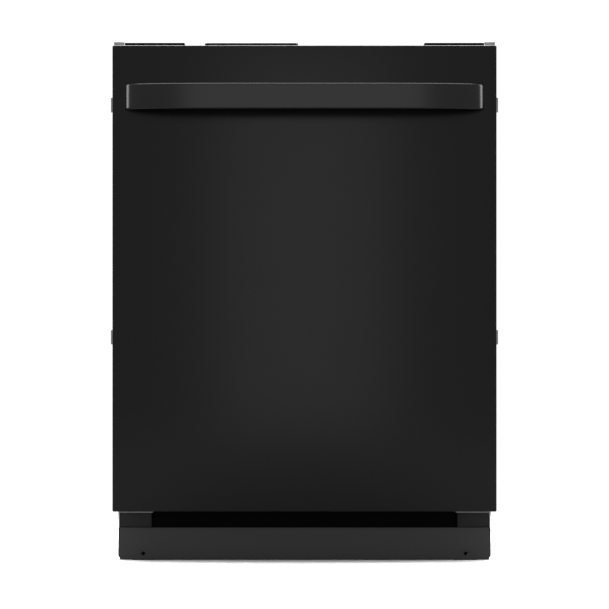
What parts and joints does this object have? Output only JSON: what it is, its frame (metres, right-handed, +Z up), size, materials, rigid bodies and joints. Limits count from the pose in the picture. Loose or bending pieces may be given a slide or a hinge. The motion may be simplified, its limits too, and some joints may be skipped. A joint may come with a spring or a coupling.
{
  "type": "built in dishwasher",
  "caption": "Built-in dishwasher with a plain drop-down door, bowed bar handle, two racks, spray arms, a base on levelling legs and cabinet brackets.",
  "frame": {"origin": "centre of the footprint on the floor, legs screwed in", "axes": "+X to the user's right, -Y out of the door's front, +Z up"},
  "size_m": [0.618, 0.632, 0.8255],
  "materials": {
    "black_enamel": "satin black enamel",
    "handle_enamel": "satin black enamel",
    "kick_paint": "low-gloss dark grey paint",
    "black_steel": "matt black coating",
    "stainless_steel": "fine brushed",
    "galvanised_steel": "galvanised",
    "zinc_plate": "zinc plated",
    "spring_steel": "oiled steel",
    "heater_sheath": "heat-darkened sheath",
    "black_plastic": "moulded, fine grain",
    "grey_plastic": "moulded, satin",
    "coated_wire": "nylon coated wire",
    "seal_rubber": "soft seal",
    "sound_felt": "pressed fibre felt"
  },
  "bodies": {
    "cabinet": {"tub": "stainless_steel", "door_gasket": "seal_rubber", "sound_blanket": "sound_felt", "top_sound_pad": "sound_felt", "side_upright_left": "galvanised_steel", "side_upright_right": "galvanised_steel", "side_clip_lower_left": "galvanised_steel", "side_clip_lower_right": "galvanised_steel", "side_clip_upper_left": "galvanised_steel", "side_clip_upper_right": "galvanised_steel", "counter_bracket_left": "black_steel", "counter_bracket_right": "black_steel", "base_frame": "galvanised_steel", "kick_panel": "kick_paint", "access_panel": "black_steel", "sump": "grey_plastic", "circulation_pump": "black_plastic", "drain_pump": "black_plastic", "inlet_valve": "grey_plastic", "junction_box": "galvanised_steel", "door_spring_left": "spring_steel", "door_spring_right": "spring_steel", "strike_plate": "spring_steel", "upper_rail_left": "stainless_steel", "upper_rail_right": "stainless_steel", "spray_manifold": "grey_plastic", "heating_element": "heater_sheath"},
    "door": {"door_outer_panel": "black_enamel", "door_inner_panel": "stainless_steel", "door_sound_sheet": "sound_felt", "control_console": "black_plastic", "handle": "handle_enamel", "hinge_arm_left": "galvanised_steel", "hinge_arm_right": "galvanised_steel", "dispenser_body": "grey_plastic"},
    "door_latch": {"door_latch": "spring_steel"},
    "dispenser_lid": {"dispenser_lid": "grey_plastic"},
    "rinse_cap": {"rinse_cap": "grey_plastic"},
    "lower_rack": {"lower_rack": "coated_wire", "silverware_basket": "grey_plastic"},
    "upper_rack": {"upper_rack": "coated_wire"},
    "extension_rails": {"extension_rail_left": "stainless_steel", "extension_rail_right": "stainless_steel"},
    "lower_spray_arm": {"lower_spray_arm": "grey_plastic"},
    "upper_spray_arm": {"upper_spray_arm": "grey_plastic"},
    "filter": {"filter_cup": "grey_plastic"},
    "float": {"float_cap": "grey_plastic"},
    "rack_wheel_front_left": {"rack_wheel_front_left": "grey_plastic"},
    "rack_wheel_front_right": {"rack_wheel_front_right": "grey_plastic"},
    "rack_wheel_rear_left": {"rack_wheel_rear_left": "grey_plastic"},
    "rack_wheel_rear_right": {"rack_wheel_rear_right": "grey_plastic"},
    "leg_front_left": {"leg_front_left": "zinc_plate"},
    "leg_front_right": {"leg_front_right": "zinc_plate"},
    "leg_rear_left": {"leg_rear_left": "zinc_plate"},
    "leg_rear_right": {"leg_rear_right": "zinc_plate"},
    "button_1": {"button_1": "grey_plastic"},
    "button_2": {"button_2": "grey_plastic"},
    "button_3": {"button_3": "grey_plastic"},
    "button_4": {"button_4": "grey_plastic"}
  },
  "joints": [
    {"name": "door_hinge", "type": "hinge", "parent": "cabinet", "child": "door", "pos_m": [0, -0.249, 0.108], "axis": [1, 0, 0], "range_deg": [0, 90], "stiffness_Nm_per_rad": 31.5, "deforming": ["door_spring_left", "door_spring_right"]},
    {"name": "upper_rack_slide", "type": "slide", "parent": "cabinet", "child": "upper_rack", "axis": [0, -1, 0], "range_m": [0, 0.472]},
    {"name": "extension_rail_slide", "type": "slide", "parent": "cabinet", "child": "extension_rails", "axis": [0, -1, 0], "range_m": [0, 0.236]},
    {"name": "lower_rack_slide", "type": "slide", "parent": "cabinet", "child": "lower_rack", "axis": [0, -1, 0], "range_m": [0, 0.158]},
    {"name": "lower_spray_arm_spin", "type": "hinge", "parent": "cabinet", "child": "lower_spray_arm", "pos_m": [0, 0.03, 0.14], "axis": [0, 0, 1], "continuous": true},
    {"name": "upper_spray_arm_spin", "type": "hinge", "parent": "upper_rack", "child": "upper_spray_arm", "pos_m": [0, 0.027, 0.46], "axis": [0, 0, 1], "continuous": true},
    {"name": "filter_twist", "type": "hinge", "parent": "cabinet", "child": "filter", "pos_m": [0.051, 0.03, 0.123], "axis": [0, 0, 1], "range_deg": [0, 90]},
    {"name": "float_rise", "type": "slide", "parent": "cabinet", "child": "float", "axis": [0, 0, 1], "range_m": [0, 0.01]},
    {"name": "latch_pawl", "type": "hinge", "parent": "door", "child": "door_latch", "pos_m": [0, -0.236, 0.7832], "axis": [1, 0, 0], "range_deg": [0, 12], "stiffness_Nm_per_rad": 0.5},
    {"name": "dispenser_lid_slide", "type": "slide", "parent": "door", "child": "dispenser_lid", "axis": [-1, 0, 0], "range_m": [0, 0.08]},
    {"name": "rinse_cap_twist", "type": "hinge", "parent": "door", "child": "rinse_cap", "pos_m": [0.045, -0.2215, 0.5], "axis": [0, 1, 0], "range_deg": [0, 90]},
    {"name": "rack_wheel_front_left_roll", "type": "hinge", "parent": "lower_rack", "child": "rack_wheel_front_left", "pos_m": [-0.25375, -0.072, 0.148], "axis": [1, 0, 0], "continuous": true},
    {"name": "rack_wheel_front_right_roll", "type": "hinge", "parent": "lower_rack", "child": "rack_wheel_front_right", "pos_m": [0.25375, -0.072, 0.148], "axis": [1, 0, 0], "continuous": true},
    {"name": "rack_wheel_rear_left_roll", "type": "hinge", "parent": "lower_rack", "child": "rack_wheel_rear_left", "pos_m": [-0.25375, 0.18, 0.148], "axis": [1, 0, 0], "continuous": true},
    {"name": "rack_wheel_rear_right_roll", "type": "hinge", "parent": "lower_rack", "child": "rack_wheel_rear_right", "pos_m": [0.25375, 0.18, 0.148], "axis": [1, 0, 0], "continuous": true},
    {"name": "leg_front_left_extend", "type": "slide", "parent": "cabinet", "child": "leg_front_left", "axis": [0, 0, -1], "range_m": [0, 0.05]},
    {"name": "leg_front_right_extend", "type": "slide", "parent": "cabinet", "child": "leg_front_right", "axis": [0, 0, -1], "range_m": [0, 0.05]},
    {"name": "leg_rear_left_extend", "type": "slide", "parent": "cabinet", "child": "leg_rear_left", "axis": [0, 0, -1], "range_m": [0, 0.05]},
    {"name": "leg_rear_right_extend", "type": "slide", "parent": "cabinet", "child": "leg_rear_right", "axis": [0, 0, -1], "range_m": [0, 0.05]},
    {"name": "button_1_press", "type": "slide", "parent": "door", "child": "button_1", "axis": [0, 0, -1], "range_m": [0, 0.0012], "stiffness_N_per_m": 900},
    {"name": "button_2_press", "type": "slide", "parent": "door", "child": "button_2", "axis": [0, 0, -1], "range_m": [0, 0.0012], "stiffness_N_per_m": 900},
    {"name": "button_3_press", "type": "slide", "parent": "door", "child": "button_3", "axis": [0, 0, -1], "range_m": [0, 0.0012], "stiffness_N_per_m": 900},
    {"name": "button_4_press", "type": "slide", "parent": "door", "child": "button_4", "axis": [0, 0, -1], "range_m": [0, 0.0012], "stiffness_N_per_m": 900}
  ],
  "couplings": [
    {"joint": "upper_rack_slide", "follows": "door_hinge", "m_per_rad": 0.3},
    {"joint": "extension_rail_slide", "follows": "door_hinge", "m_per_rad": 0.15},
    {"joint": "lower_rack_slide", "follows": "door_hinge", "m_per_rad": 0.1},
    {"joint": "rack_wheel_front_left_roll", "follows": "door_hinge", "ratio": 5.5556},
    {"joint": "rack_wheel_front_right_roll", "follows": "door_hinge", "ratio": 5.5556},
    {"joint": "rack_wheel_rear_left_roll", "follows": "door_hinge", "ratio": 5.5556},
    {"joint": "rack_wheel_rear_right_roll", "follows": "door_hinge", "ratio": 5.5556}
  ]
}
